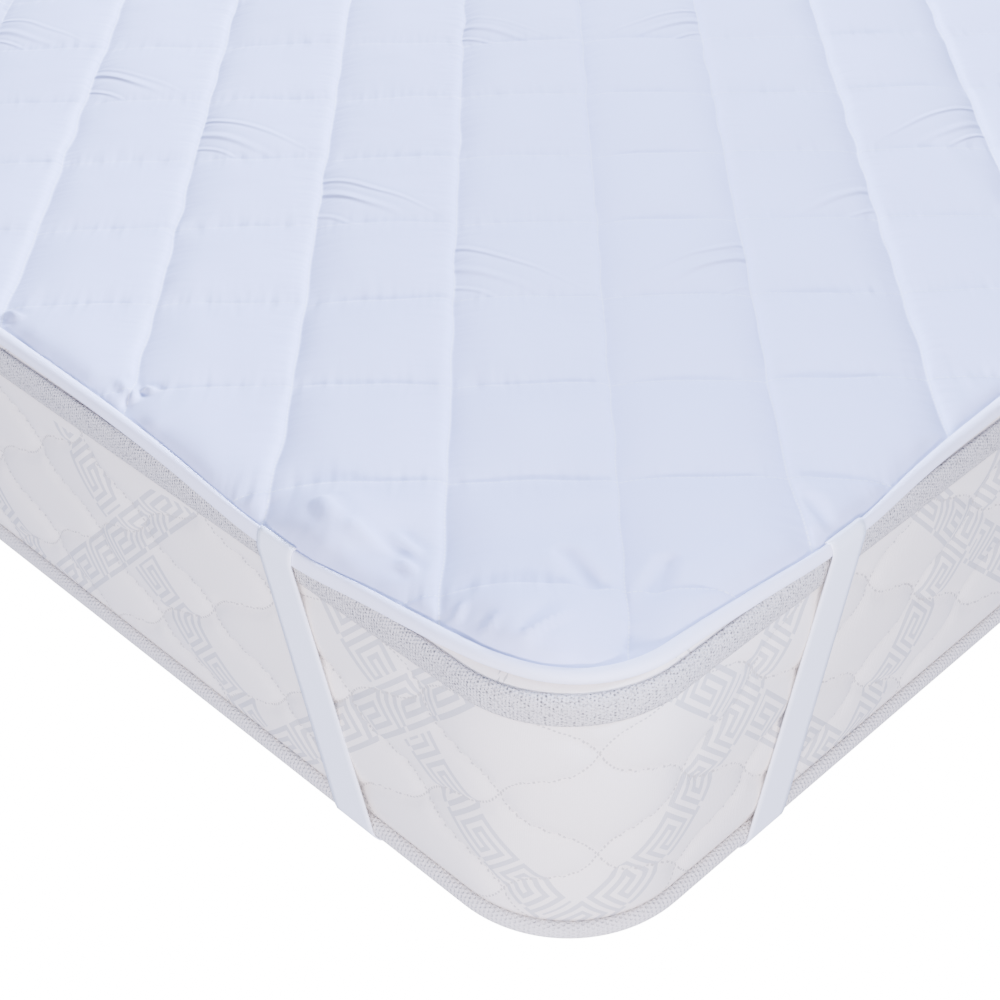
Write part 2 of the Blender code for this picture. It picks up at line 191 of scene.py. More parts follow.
# Creases, listed in squares of the quilting: from, to, half width and height in mm.
CREASES = (
    (0.33, 0.35, -0.12, 0.12, 7.5, -3.4), (0.27, -0.25, -0.13, -0.12, 7.5, -3.4),
    (-0.46, 0.58, -0.2, 0.26, 3.4, 3.4), (-0.55, 0.51, -0.57, 0.31, 3.4, 2.72),
    (-0.63, 0.34, -0.54, 0.13, 3.4, 3.4), (-0.37, 0.8, -0.24, 0.68, 3.4, 2.72),
    (-0.21, 0.93, -0.11, 0.85, 3.4, 2.38), (0.39, 1.84, 0.51, 1.77, 3.4, 2.72),
    (0.42, 1.87, 0.49, 1.83, 3.4, 2.38), (0.33, 1.7, 0.55, 1.6, 4.5, 3.06),
    (0.81, 1.7, 0.53, 1.53, 4.8, 2.72), (0.58, 1.51, 0.33, 1.27, 4.8, 3.06),
    (0.5, 1.28, 0.3, 1.1, 4.5, 2.72), (0.28, 1.23, 0.15, 1.12, 3.9, 2.38),
    (0.44, 1.81, 0.67, 1.72, 3.6, -2.38), (1.9, 2.95, 2.17, 3.15, 3.9, 3.06),
    (2.03, 2.94, 1.93, 2.8, 3.6, 2.72), (1.94, 2.95, 2.16, 3.05, 3.4, 2.38),
    (2.81, 3.87, 2.99, 4.0, 3.6, 3.06), (0.84, -1.05, 0.49, -1.15, 6.0, -2.38),
    (-0.42, -0.37, -0.23, -0.33, 3.4, 2.38),
)

# Marks of the panel's old folds: the first one's distance from the crossing and their step, in
# squares. Each has arcs of this shift and length in squares, half width and height in mm.
FOLD_FIRST, FOLD_STEP = 2.5, 3.93
FOLD_ARCS = ((0.16, 1.15, 3.4, 1.2), (-0.06, 0.8, 5.0, 1.7), (-0.34, 0.45, 3.0, 0.8))

# Where the corner stands up or sinks: along, across and radius in squares, height in mm.
HUMPS = (
    (-0.12, 0.55, 0.42, 6.0), (-0.10, -0.60, 0.42, 5.0), (-0.45, 0.05, 0.30, -3.0), (0.62, 1.62, 0.28, 4.5),
    (0.42, 1.22, 0.20, -3.5), (0.30, -1.25, 0.30, 2.5), (-0.30, 0.85, 0.14, -2.5),
)


def smooth(value):
    """Smoothstep: 0 below 0, 1 above 1, level at both ends."""
    value = np.clip(value, 0, 1)
    return value * value * (3 - 2 * value)


def walk(place, inset=0.0):
    """Points and outward normals along the rounded rectangle `inset` inside the wall plane.

    On an arc the normal turns in proportion to the distance; on a side it stands still and
    the point moves along it.
    """
    sides = np.array([WIDTH, LENGTH, WIDTH, LENGTH]) - 2 * CORNER_RADIUS
    reach = np.array([WIDTH, LENGTH]) / 2 - CORNER_RADIUS
    signs = np.array([(-1, -1), (1, -1), (1, 1), (-1, 1)])
    place = np.mod(np.asarray(place) + ARC / 2, PERIMETER)
    ends = np.cumsum(np.column_stack([np.full(4, ARC), sides]).ravel())
    which = np.minimum(np.searchsorted(ends, place, side="right"), 7)
    run = place - np.concatenate([[0], ends])[which]
    corner, on_arc = which // 2, which % 2 == 0
    angle = math.pi + (corner + np.where(on_arc, run / ARC, 1.0)) * math.pi / 2
    normal = np.stack([np.cos(angle), np.sin(angle)], axis=-1)
    along = np.stack([-normal[..., 1], normal[..., 0]], axis=-1)
    shift = np.where(on_arc, 0.0, run)[..., None]
    inner = np.asarray(CORNER_RADIUS - inset)
    if inner.ndim:
        inner = inner[..., None]
    return reach * signs[corner] + normal * inner + along * shift, normal


def spine_point(flat):
    """The nearest point of the rectangle that joins the centres of the corner arcs."""
    reach = np.array([WIDTH / 2 - CORNER_RADIUS, LENGTH / 2 - CORNER_RADIUS])
    return np.clip(flat, -reach, reach)


def depth_inside(flat):
    """How far each point lies inside the panel's rim."""
    return CORNER_RADIUS - PAD_INSET - np.linalg.norm(flat - spine_point(flat), axis=-1)


def settled(points):
    """Points of the panel's rim as it lies: out of line, sagging, and drawn by the straps.

    The pull is 1 beside a strap and 1 / (1 + (d / w)^2) at the distance d from it, with
    another width w towards the corner than away from it. Its outward part fades with the
    square of the depth inside the rim, and its downward part sooner. Outside its seam the
    binding is tipped over the edge, so its outward part is less there.
    """
    points = np.array(points, dtype=float)
    flat = points[..., :2].copy()
    inside = depth_inside(flat)
    downwards = np.clip(1 - inside / RIM_FLAT_FROM, 0, 1) ** 2
    tipped = 1 - PULL_TIP * np.clip(1 - inside / SEAM_DEPTH, 0, 1)
    points[..., 2] -= RIM_SAG * downwards
    for name, (axis, facing) in SIDES.items():
        length = (WIDTH, LENGTH)[axis]
        place = flat[..., axis] + length / 2
        from_corner = np.minimum(place, length - place)
        beyond = from_corner - STRAP_TOP_AT[axis]
        wide = np.where(beyond < 0, *PULL_WIDE[axis])
        pull = 1 / (1 + (np.clip(np.abs(beyond) - PULL_HALF, 0, 1) / wide) ** 2)
        pull = pull * smooth((from_corner - PULL_FROM) / (PULL_FULL - PULL_FROM))
        out = PULL_OUT[axis] * pull * tipped
        if name in RIM_LINE:
            line = RIM_LINE[name]
            out = out + MM * np.interp(place, line["at"], line["out_mm"])
        depth = (LENGTH, WIDTH)[axis] / 2 - PAD_INSET - facing * flat[..., 1 - axis]
        near = np.clip(1 - depth / SHIFT_FADE, 0, 1) ** 2
        points[..., 1 - axis] += facing * out * near
        points[..., 2] -= PULL_DOWN[axis] * pull * downwards * (near > 0)
    return points


def uneven(flat, size, seed):
    """A soft random height between about -1 and 1, from waves of about `size` in all directions."""
    draw = np.random.default_rng(seed)
    total = np.zeros(flat.shape[:-1])
    waves = 9
    for angle, phase, scale in zip(draw.uniform(0, math.pi, waves), draw.uniform(0, 2 * math.pi, waves),
                                   draw.uniform(0.7, 1.6, waves)):
        way = np.array([math.cos(angle), math.sin(angle)])
        total += np.sin(flat @ way * 2 * math.pi / (size * scale) + phase)
    return total / math.sqrt(waves)


# Meshes

def mesh_object(name, points, faces, layer=None):
    """An object at the origin from points and faces, with a UV layer in metres.

    A face that crosses the start of the walk round the mattress has its far side moved on
    by the perimeter, so that no pattern is squeezed into it.
    """
    mesh = bpy.data.meshes.new(name)
    mesh.from_pydata(np.asarray(points).reshape(-1, 3), [], faces)
    mesh.update()
    if layer is not None:
        # All quads come before the end caps.
        index = np.zeros(len(mesh.loops), dtype=np.int32)
        mesh.loops.foreach_get("vertex_index", index)
        uv = np.asarray(layer, dtype=np.float32).reshape(-1, 2)[index]
        quads = sum(len(face) == 4 for face in faces)
        first = uv[:quads * 4, 0].reshape(-1, 4)
        torn = first.max(axis=1) - first.min(axis=1) > PERIMETER / 2
        first[torn] += np.where(first[torn] < 0, PERIMETER, 0)
        mesh.uv_layers.new(name="cloth").data.foreach_set("uv", uv.ravel())
    mesh.shade_smooth()
    piece = bpy.data.objects.new(name, mesh)
    bpy.context.scene.collection.objects.link(piece)
    return piece


def grid_faces(rows, columns, close_rows=False, close_columns=True):
    """Quads between neighbours of a grid of rows and columns."""
    row = np.arange(rows if close_rows else rows - 1)[:, None]
    column = np.arange(columns if close_columns else columns - 1)[None, :]
    below, beside = (row + 1) % rows, (column + 1) % columns
    quads = np.stack([row * columns + column, row * columns + beside, below * columns + beside,
                      below * columns + column], axis=-1)
    return quads.reshape(-1, 4)


def point_outwards(piece):
    """Turn the faces of a closed piece outwards."""
    bm = bmesh.new()
    bm.from_mesh(piece.data)
    bmesh.ops.recalc_face_normals(bm, faces=bm.faces)
    bm.to_mesh(piece.data)
    bm.free()


def dress(piece, finish, nodes):
    """Finish a piece, let it ride on the root body, and hide the model's parts that it stands for."""
    piece.data.materials.clear()
    piece.data.materials.append(finish)
    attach(piece, "root")
    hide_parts(*nodes)
    return piece


# Finishes

class Value:
    """A shader socket that can be written in arithmetic: each operator adds a Math node."""

    def __init__(self, finish, socket):
        self.finish, self.socket = finish, socket

    def math(self, operation, *others):
        """A Math node's result from this value and others."""
        return self.finish.node("ShaderNodeMath", {"operation": operation}, (self, *others))

    def __add__(self, other):
        return self.math("ADD", other)

    def __mul__(self, other):
        return self.math("MULTIPLY", other)

    def __sub__(self, other):
        return self.math("SUBTRACT", other)

    def __truediv__(self, other):
        return self.math("DIVIDE", other)

    def __rsub__(self, other):
        return self.finish.node("ShaderNodeMath", {"operation": "SUBTRACT"}, (other, self))

    def __lt__(self, other):
        return self.math("LESS_THAN", other)

    def __gt__(self, other):
        return self.math("GREATER_THAN", other)

    __radd__ = __add__
    __rmul__ = __mul__

    def near(self, other, within):
        """1 where two values differ by less than `within`."""
        return self.math("COMPARE", other, within)

    def step(self, low, high):
        """0 below low, 1 above high, smooth between."""
        return self.finish.node("ShaderNodeMapRange", {"interpolation_type": "SMOOTHSTEP"}, (self, low, high))


class Finish:
    """One cloth's material: its node tree, and one way to add any node."""

    def __init__(self, name, colour, roughness, **constants):
        self.material = bpy.data.materials.new(name)
        self.material.use_nodes = True
        self.tree = self.material.node_tree
        self.shader = self.tree.nodes["Principled BSDF"]
        self.shader.inputs["Base Color"].default_value = (*colour, 1)
        self.shader.inputs["Roughness"].default_value = roughness
        for socket, value in constants.items():
            self.shader.inputs[socket.replace("_", " ")].default_value = value
        self.material.diffuse_color = (*colour, 1)

    def node(self, kind, settings=None, values=(), output=0):
        """One output of a new node, with its settings, and its inputs linked or set."""
        made = self.tree.nodes.new(kind)
        for name, value in (settings or {}).items():
            setattr(made, name, value)
        pairs = values.items() if isinstance(values, dict) else enumerate(values)
        for key, value in pairs:
            if isinstance(value, Value):
                self.tree.links.new(value.socket, made.inputs[key])
            else:
                made.inputs[key].default_value = value
        return Value(self, made.outputs[output])

    def place(self):
        """The piece's own UV map as two values in metres."""
        uv = self.node("ShaderNodeUVMap", {"uv_map": "cloth"})
        parts = self.node("ShaderNodeSeparateXYZ", values=(uv,)).socket.node.outputs
        return Value(self, parts[0]), Value(self, parts[1])

    def noise(self, scale, detail=2.0, vector=None):
        """Even noise over the object, from 0 to 1."""
        where = vector or self.node("ShaderNodeTexCoord", output=3)
        return self.node("ShaderNodeTexNoise", values={"Vector": where, "Scale": scale, "Detail": detail})

    def blend(self, factor, first, second):
        """A colour between two colours."""
        values = {0: factor, 6: first if isinstance(first, Value) else (*first, 1),
                  7: second if isinstance(second, Value) else (*second, 1)}
        return self.node("ShaderNodeMix", {"data_type": "RGBA"}, values, output=2)

    def colour(self, value):
        """Let a value be the cloth's colour."""
        self.tree.links.new(value.socket, self.shader.inputs["Base Color"])

    def bump(self, height, distance, strength=1.0):
        """Raise the cloth's finest relief in its shading: a height of 1 is `distance`."""
        values = {"Strength": strength, "Distance": distance, "Height": height}
        normal = self.node("ShaderNodeBump", values=values)
        self.tree.links.new(normal.socket, self.shader.inputs["Normal"])


def darker(colour, share):
    """A colour times a share."""
    return tuple(part * share for part in colour)


def from_line(way):
    """Distance of a value from the nearest whole number, as shader maths."""
    return (way - way.math("ROUND")).math("ABSOLUTE")


def fold_arcs(cloth, along, across):
    """Short arcs where a fold mark crosses a stitched line, as heights in millimetres.

    The panel was folded along lines parallel to its edges, which cross the quilting at 45
    degrees, so the marks lie where along - |across| is FOLD_FIRST plus a multiple of
    FOLD_STEP. With s the distance from the stitched line in squares, an arc's middle runs
    along shift - s / 2 - 0.22 s^2 / length. With t the distance from its middle in half
    widths, its height is (1 - 1.6 t^2) exp(-t^2). It fades between 15% and 85% of its
    length. A random draw for each arc moves it by up to 0.08 squares either way and makes
    it 0.15 to 1.45 times as high.
    """
    away = across.math("ABSOLUTE")
    line = away.math("CEIL")
    s = line - away
    fold = (along - line - FOLD_FIRST) * (1 / FOLD_STEP)
    number = fold.math("ROUND")
    u = (fold - number) * FOLD_STEP
    total = 0.0
    for index, (shift, length, width, height) in enumerate(FOLD_ARCS):
        seed = cloth.node("ShaderNodeCombineXYZ", values=(line * across.math("SIGN"), number, index + 0.5))
        draw = cloth.node("ShaderNodeTexWhiteNoise", {"noise_dimensions": "3D"}, {"Vector": seed})
        middle = draw * 0.16 + (shift - 0.08) - s * 0.5 - s * s * (0.22 / length)
        t = (u - middle) * (PITCH / MM / width)
        window = 1 - s.step(0.15 * length, 0.85 * length)
        across_it = (t * t * -1.0).math("EXPONENT") * (1 - t * t * 1.6)
        total = across_it * window * (draw * 1.3 + 0.15) * height + total
    return total * (number > -0.5)


def seam_puckers(cloth, along, across):
    """Small puckers square to the stitched lines, fading away from them as exp(-x / 9 mm).

    They are noise with ten cells to a square along the line and two across it.
    """
    total = 0.0
    reach = 9 * MM
    for way, stretch in ((across, (10.0, 2.0)), (along, (2.0, 10.0))):
        near = (from_line(way) * (-PITCH / reach)).math("EXPONENT")
        where = cloth.node("ShaderNodeCombineXYZ", values=(along * stretch[0], across * stretch[1], 0.0))
        total = (cloth.noise(1.0, 1.0, where) - 0.5) * near + total
    return total


def cotton_finish(colours):
    """Fine plain weave, a little mottled, stitched in squares, with puckers and fold marks.

    The thread shows for 72% of each 3 mm stitch, lighter than the panel: partly the thread's own
    colour and partly a painted highlight along the stitched lines. Heights of the bump are in millimetres.
    """
    cloth = Finish("protector_cotton", colours.panel, 0.85, Sheen_Weight=0.15, Sheen_Roughness=0.6)
    u, v = cloth.place()
    along, across = u * (1 / PITCH), v * (1 / PITCH)
    core, edge = 0.2 * MM / PITCH, 0.6 * MM / PITCH
    stitches = PITCH / (3 * MM)
    thread_highlight = None
    for way, run in ((along, across), (across, along)):
        stitch = (1 - from_line(way).step(core, edge)) * ((run * stitches).math("FRACT") < 0.72)
        thread_highlight = stitch if thread_highlight is None else thread_highlight.math("MAXIMUM", stitch)
    mottled = cloth.noise(9.0, 3.0).step(0.35, 0.75)
    woven = cloth.blend(mottled, darker(colours.panel, 0.975), colours.panel)
    # The stitched lines are coloured lighter than the panel: partly the thread's own colour, partly a painted
    # highlight.
    cloth.colour(cloth.blend(thread_highlight, woven, colours.thread_highlight))
    puckers = seam_puckers(cloth, along, across) * 3.0
    weave, slack = cloth.noise(1500.0, 1.0) * 0.05, cloth.noise(60.0, 2.0) * 0.3
    cloth.bump(puckers + fold_arcs(cloth, along, across) + weave + slack, MM)
    return cloth.material


def binding_finish(colours):
    """Smooth tape with fine slanting ribs and a groove where it is stitched, beside its edge, the groove painted
    darker as shade.
    """
    cloth = Finish("binding_tape", colours.binding, 0.62, Sheen_Weight=0.2, Sheen_Roughness=0.5)
    along, around = cloth.place()
    rib, groove_at, groove_half = 0.9 * MM, 1.2 * MM, 0.35 * MM
    twill = ((along + around * 0.8) * (1 / rib)).math("FRACT").math("PINGPONG", 0.5)
    slack = cloth.noise(120.0, 2.0)
    shaded_groove = around.near(groove_at, groove_half)
    # Painted shade: the stitched groove is coloured 62% as bright as the tape.
    cloth.colour(cloth.blend(shaded_groove, colours.binding, darker(colours.binding, 0.62)))
    cloth.bump(twill * 0.25 + slack * 0.8 - shaded_groove, 0.4 * MM, 0.5)
    return cloth.material


def elastic_finish(colours):
    """Flat elastic: ribs along its length, fine crosswise picks, and brighter selvedges."""
    cloth = Finish("elastic", colours.elastic, 0.7, Sheen_Weight=0.15, Sheen_Roughness=0.5)
    along, across = cloth.place()
    rib, pick = 1.3 * MM, 1.1 * MM
    from_edge = STRAP_WIDTH / 2 - across.math("ABSOLUTE")
    selvedge = 1 - from_edge.step(0.8 * MM, 1.8 * MM)
    ribs = (across * (1 / rib)).math("PINGPONG", 0.5)
    picks = (along * (1 / pick)).math("PINGPONG", 0.5)
    shade = cloth.blend(ribs * 1.2, darker(colours.elastic, 0.95), colours.elastic)
    cloth.colour(cloth.blend(selvedge, shade, colours.selvedge))
    cloth.bump(ribs * 0.7 + picks * 0.5 + selvedge * 0.8, 0.3 * MM, 0.6)
    return cloth.material


def ogee_lattice(along, height, cell_width, cell_height, bend, sine):
    """Crossing diagonals bent into ogee cells, as two coordinates whose whole numbers are stitched.

    With u and v the place in cells, a = u + v and b = u - v; each is moved by the sine of
    the other's turn, so that the lines are steep where they cross and shallow between.
    """
    first = along * (1 / cell_width) + height * (1 / cell_height)
    second = along * (1 / cell_width) - height * (1 / cell_height)
    turn = 2 * math.pi
    return first + sine(second * turn) * (bend / turn), second + sine(first * turn) * (bend / turn)


def key_band(cloth, across, along, size):
    """1 on the woven lines of a Greek key band, from places across and along it.

    Each row of the chart is a whole number with one bit for each cell, and the bit of the
    cell is taken out by dividing by a power of two.
    """
    row = (across * (1 / size[1])).math("FLOOR")
    columns = len(KEY_CHART[0])
    column = (along * (1 / size[0])).math("FLOOR").math("FLOORED_MODULO", float(columns))
    bits = 0.0
    for number, line in enumerate(KEY_CHART):
        code = sum(2 ** place for place, mark in enumerate(line) if mark == "#")
        bits = row.near(float(number), 0.5) * float(code) + bits
    power = cloth.node("ShaderNodeMath", {"operation": "POWER"}, (2.0, column))
    return (bits / power + 0.001).math("FLOOR").math("FLOORED_MODULO", 2.0)


def ticking_finish(colours, sizes):
    """Knitted ticking with crossing Greek key bands and stitched ogee cells.

    The bands run at 45 degrees, and one way is woven over the other. The quilting is sewn
    in 24 dashes to an ogee cell.
    """
    cloth = Finish("mattress_ticking", colours.ticking, 0.9, Sheen_Weight=0.1)
    along, height = cloth.place()
    slope = math.sqrt(0.5)
    period = PERIMETER / sizes.key_bands
    cell = (period * slope / KEY_UNITS / len(KEY_CHART[0]), sizes.key_cell)
    wide = cell[1] * len(KEY_CHART)
    rise = height - sizes.key_height
    figure = None
    for way in (-1.0, 1.0):
        across = ((rise + along * way).math("FLOORED_MODULO", period) - period / 2) * slope + wide / 2
        run = (along * way - rise) * slope + cell[0] * KEY_START
        band = key_band(cloth, across, run, cell)
        if figure is None:
            figure, over = band, across.near(wide / 2, wide / 2 + cell[1])
        else:
            figure = figure + band * (1 - over)
    a, b = ogee_lattice(along - OGEE_SHIFT[0], height + OGEE_SHIFT[1], sizes.ogee_width, sizes.ogee_height,
                        sizes.ogee_bend, lambda value: value.math("SINE"))
    stitched, stitch_half, dashes = None, 0.010, 24.0
    for one, other in ((a, b), (b, a)):
        line = (from_line(one) < stitch_half) * ((other * dashes).math("FRACT") < 0.55)
        stitched = line if stitched is None else stitched.math("MAXIMUM", line)
    knit_rib = 1.2 * MM
    knit = (along * (1 / knit_rib)).math("PINGPONG", 0.5) * 2.0
    grain = cloth.noise(700.0, 2.0)
    ground = cloth.blend(grain, darker(colours.ticking, 0.95), colours.ticking)
    figure = figure.math("MINIMUM", 1.0) * (height < sizes.key_top)
    woven = cloth.blend(figure, ground, colours.figure)
    cloth.colour(cloth.blend(stitched, woven, darker(colours.ticking, 0.58)))
    cloth.bump(grain * 0.5 + knit * 0.25 + figure * -0.35 + stitched * -1.2, 0.5 * MM, 0.5)
    return cloth.material


def tape_finish(name, colour, hole_shade, cell, depth):
    """Coarse knitted tape: a net of small cells, every other column half a cell up.

    Some cells are painted darker in the middle, as shade in the tape's open holes, as far as
    `hole_shade` says, and all are pressed in by `depth`.
    """
    cloth = Finish(name, colour, 0.9)
    along, around = cloth.place()
    column = along * (1 / cell)
    beside = column.math("FRACT") - 0.5
    above = (around * (1 / cell) + column.math("FLOOR") * 0.5).math("FRACT") - 0.5
    middle = 1 - (beside * beside + above * above).math("SQRT").step(0.12, 0.42)
    grain = cloth.noise(900.0, 2.0)
    shaded_pits = (middle * 0.6 + 0.4) * cloth.noise(760.0, 1.0).step(0.52, 0.60)
    # Painted shade: the middles of some cells are coloured dark, as shade in the tape's holes.
    cloth.colour(cloth.blend(shaded_pits * hole_shade, colour, darker(colour, 0.25)))
    cloth.bump(grain * 0.6 - middle, depth, 0.7)
    return cloth.material


# Pieces

def lattice_steps(low, high, bands, nearest):
    """Lattice coordinates with a number of steps to each square, closer beside the stitched lines.

    A square's steps are those of the first of the `bands` that reaches beyond it, by
    `nearest`, its distance from where the bands start. Inside a square they are at
    x - c sin(2 pi x) / (2 pi), which crowds them at both ends.
    """
    crowding = 0.42
    values = []
    for square in range(low, high):
        steps = next((steps for reach, steps in bands if nearest(square) < reach), STEPS_FAR)
        part = np.arange(steps) / steps
        values.append(square + part - crowding * np.sin(2 * math.pi * part) / (2 * math.pi))
    return np.append(np.concatenate(values), high)


def off_line(value):
    """Distance from the nearest whole number."""
    return np.abs(value - np.round(value))


def pillow(value):
    """1 - (1 - 2 x)^2.4, with x the distance from the stitched line: 1 in the square's middle."""
    return 1 - (1 - np.clip(off_line(value) / 0.5, 0, 1)) ** 2.4


def ridge(along, across, start, end, half_width, height):
    """A crease from start to end: a ridge with a valley on both sides.

    Across it the height is (1 - 1.6 s^2) exp(-s^2), with s the distance from its middle line
    in half widths. It comes up over its first tenth and fades over the last 55% of it.
    """
    way = np.subtract(end, start)
    length = math.hypot(*way)
    way = way / length
    total = np.zeros_like(along)
    reach = length + 3 * half_width
    near = np.flatnonzero((np.abs(along - start[0]) < reach) & (np.abs(across - start[1]) < reach))
    a, b = along[near] - start[0], across[near] - start[1]
    run = (a * way[0] + b * way[1]) / length
    off = (b * way[0] - a * way[1]) / half_width
    window = smooth((run + 0.05) / 0.15) * smooth((1 - run) / 0.55)
    total[near] = height * (1 - 1.6 * off ** 2) * np.exp(-off ** 2) * window
    return total


def creases(along, across):
    """All creases of the panel, in metres, from places in squares."""
    total = np.zeros_like(along)
    for a, b, c, d, width, height in CREASES:
        total += ridge(along, across, (a, b), (c, d), width * MM / PITCH, height * MM)
    for place, side, radius, height in HUMPS:
        total += height * MM * np.exp(-((along - place) ** 2 + (across - side) ** 2) / radius ** 2)
    return total


def between_seams(part, first, last):
    """Rise from a square's two stitched lines: (1 - exp(-x / first)) (1 - exp(-(1 - x) / last))."""
    return (1 - np.exp(-part / first)) * (1 - np.exp(-(1 - part) / last))


def panel_height(flat, along, across, sizes):
    """Height of the quilted face above the mattress: pillows between stitched lines.

    It rises from the binding's seam to the pillows as 1 - exp(-depth / 3.2 mm). A square is
    steep on its side away from the front left corner and on its side towards the row -1,
    and shallow on the others; that row is shallow on both sides. The lines across the view
    are shallower than those along it, and deepest beside the corner.
    """
    rim_height, rim_rise = 3.2 * MM, 3.2 * MM
    depth = depth_inside(flat)
    rise = 1 - np.exp(-np.clip(depth - SEAM_START, 0, 1) / rim_rise)
    steep, shallow = sizes.seam_edge / PITCH, sizes.seam_slope / PITCH
    row = np.floor(across)
    cross = sizes.cross_depth * (1 + 0.9 * smooth((3 - along) / 3))
    sharp = 1 - cross * (1 - between_seams(along % 1, shallow, steep))
    sharp = sharp * between_seams(across % 1, np.where(row >= 0, steep, shallow), np.where(row < -1, steep, shallow))
    puff = sizes.seam_share * sharp + (1 - sizes.seam_share) * pillow(along) * pillow(across)
    cell = np.stack([np.floor(along), row], axis=-1)
    full = 1 + sizes.fullness * np.sin(cell @ FULLNESS_TURN)
    low = rim_height + (sizes.seam_height - rim_height) * rise
    pillows = (sizes.crown_height - sizes.seam_height) * rise * puff * full
    gathered = np.exp(-np.clip(depth - SEAM_DEPTH, 0, 1) / GATHER_REACH)
    loose = 0.0
    for (height, size, seed), share in zip(LOOSENESS, (1, puff, gathered)):
        loose = loose + height * MM * uneven(flat, size, seed) * share
    return low + pillows + rise * (loose + creases(along, across))


def quilted_panel(sizes):
    """The quilted panel as one closed sheet, on a grid turned with the stitched lines.

    The grid's outermost points are moved out to the rim, and the sheet is turned under there
    and closed below.
    """
    # The grid reaches past all four corners of the mattress.
    span = int(math.ceil((WIDTH + LENGTH) / math.sqrt(2) / PITCH)) + 1
    along = lattice_steps(-2, span, STEPS_ALONG, lambda square: square)
    across = lattice_steps(-8, span - 6, STEPS_ACROSS, lambda square: max(square, -1 - square))
    a, b = np.meshgrid(along, across, indexing="ij")
    lattice = np.stack([a, b], axis=-1)
    wander_a, wander_b = [SEAM_WANDER / PITCH * uneven(lattice, *waves) for waves in ((0.55, 21), (0.48, 22))]
    flat = np.stack([a + wander_a - b - wander_b, a + wander_a + b + wander_b], axis=-1)
    flat = CROSSING + flat * PITCH / math.sqrt(2)
    inside = depth_inside(flat) > RIM_EDGE
    quads = grid_faces(*a.shape, close_columns=False)
    kept = quads[inside.ravel()[quads].all(axis=1)]
    uses = np.bincount(kept.ravel(), minlength=a.size)
    rim = np.flatnonzero((uses > 0) & (uses < 4))

    flat = flat.reshape(-1, 2)
    spine = spine_point(flat[rim])
    away = flat[rim] - spine
    away /= np.linalg.norm(away, axis=1)[:, None]
    reach = CORNER_RADIUS - PAD_INSET
    flat[rim] = spine + away * (reach - RIM_EDGE)
    top = np.column_stack([flat, TOP + panel_height(flat, a.ravel(), b.ravel(), sizes)])

    used = np.flatnonzero(uses)
    number = np.full(a.size, -1)
    number[used] = np.arange(len(used))
    order = np.argsort(np.arctan2(flat[rim, 1] * WIDTH / LENGTH, flat[rim, 0]))
    rim, spine, away = rim[order], spine[order], away[order]
    rings = []
    for depth, height in UNDERSIDE:
        ring = spine + away * (reach - depth)
        rings.append(np.column_stack([ring, np.full(len(ring), TOP + height * MM)]))
    points = settled(np.concatenate([top[used], *rings]))
    count, start = len(rim), len(used)
    below = np.concatenate([number[rim], np.arange(start, start + count * len(rings))])
    sides = below[grid_faces(len(rings) + 1, count)]
    cap = below[-count:]
    faces = [tuple(face) for face in number[kept].tolist()] + sides.tolist() + [cap.tolist()]
    lattice = lattice.reshape(-1, 2) * PITCH
    cloth = np.concatenate([lattice[used], *[lattice[rim]] * len(rings)])
    piece = mesh_object("quilted_panel", points, faces, cloth)
    point_outwards(piece)
    return piece


def swept(name, section, rows, settle):
    """A closed section carried round the mattress: out from the wall plane and up.

    It has this many rows round the mattress, and follows the settled rim where `settle` is
    true. The second coordinate of the UV layer is the distance round the section.
    """
    place = np.linspace(-PERIMETER / 2, PERIMETER / 2, rows, endpoint=False)
    section = np.asarray(section)
    rings = []
    for out, up in section:
        flat, _ = walk(place, -out)
        rings.append(np.column_stack([flat, np.full(rows, up)]))
    points = np.stack(rings, axis=1)
    if settle:
        points = settled(points)
    around = np.concatenate([[0], np.cumsum(np.linalg.norm(np.diff(section, axis=0), axis=1))])
    layer = np.stack(np.broadcast_arrays(place[:, None], around[None, :]), axis=-1)
    piece = mesh_object(name, points, grid_faces(rows, len(section), close_rows=True).tolist(), layer)
    point_outwards(piece)
    return piece


def binding_tape():
    """The folded binding on the panel's rim."""
    section = np.array(BINDING_SECTION) * MM + (-PAD_INSET, TOP)
    return swept("binding_tape", section, BINDING_ROWS, settle=True)


def edge_tape(name, low, high, out):
    """A tape round the mattress, its face `out(turn)` from the wall plane.

    Turn runs from -1 at the tape's lower edge to 1 at its upper edge.
    """
    turn = np.linspace(-1, 1, 13)
    face = np.column_stack([out(turn), (low + high) / 2 + turn * (high - low) / 2])
    section = np.concatenate([[(TAPE_BACK, low)], face, [(TAPE_BACK, high)]])
    return swept(name, section, TAPE_ROWS, settle=False)


def bottom_tape():
    """The lower tape, proud of the wall plane and bent back evenly towards both edges."""
    def out(turn):
        return TAPE_PROUD - 3.4 * MM * np.abs(turn) ** 3

    return edge_tape("bottom_tape", BOTTOM_TAPE_LOW.z, BOTTOM_TAPE_HIGH.z, out)


def top_tape():
    """The upper tape, inside the wall plane and bent back most towards the mattress's top."""
    def out(turn):
        return -1 * MM - 3.0 * MM * np.clip(turn, 0, 1) ** 3 - 1.2 * MM * np.clip(-turn, 0, 1) ** 4

    return edge_tape("top_tape", TOP_TAPE_LOW.z, TOP_TAPE_HIGH.z, out)


def woven_place(place, height, sizes):
    """Place in the woven pattern: knots move each crossing of the bands to where it lies.

    The crossings in KEY_CROSSINGS are the two even ones on each side of the corner's middle.
    """
    period = PERIMETER / sizes.key_bands
    at = [-KEY_REGULAR_FROM] + [place for place, _ in KEY_CROSSINGS] + [KEY_REGULAR_FROM]
    to = [-KEY_REGULAR_FROM] + [(number - 1.5) * period for number in range(4)] + [KEY_REGULAR_FROM]
    rise = [0.0] + [sizes.key_height - height for _, height in KEY_CROSSINGS] + [0.0]
    moved = np.where(np.abs(place) < KEY_REGULAR_FROM, np.interp(place, at, to), place)
    return moved, height + np.interp(place, at, rise)


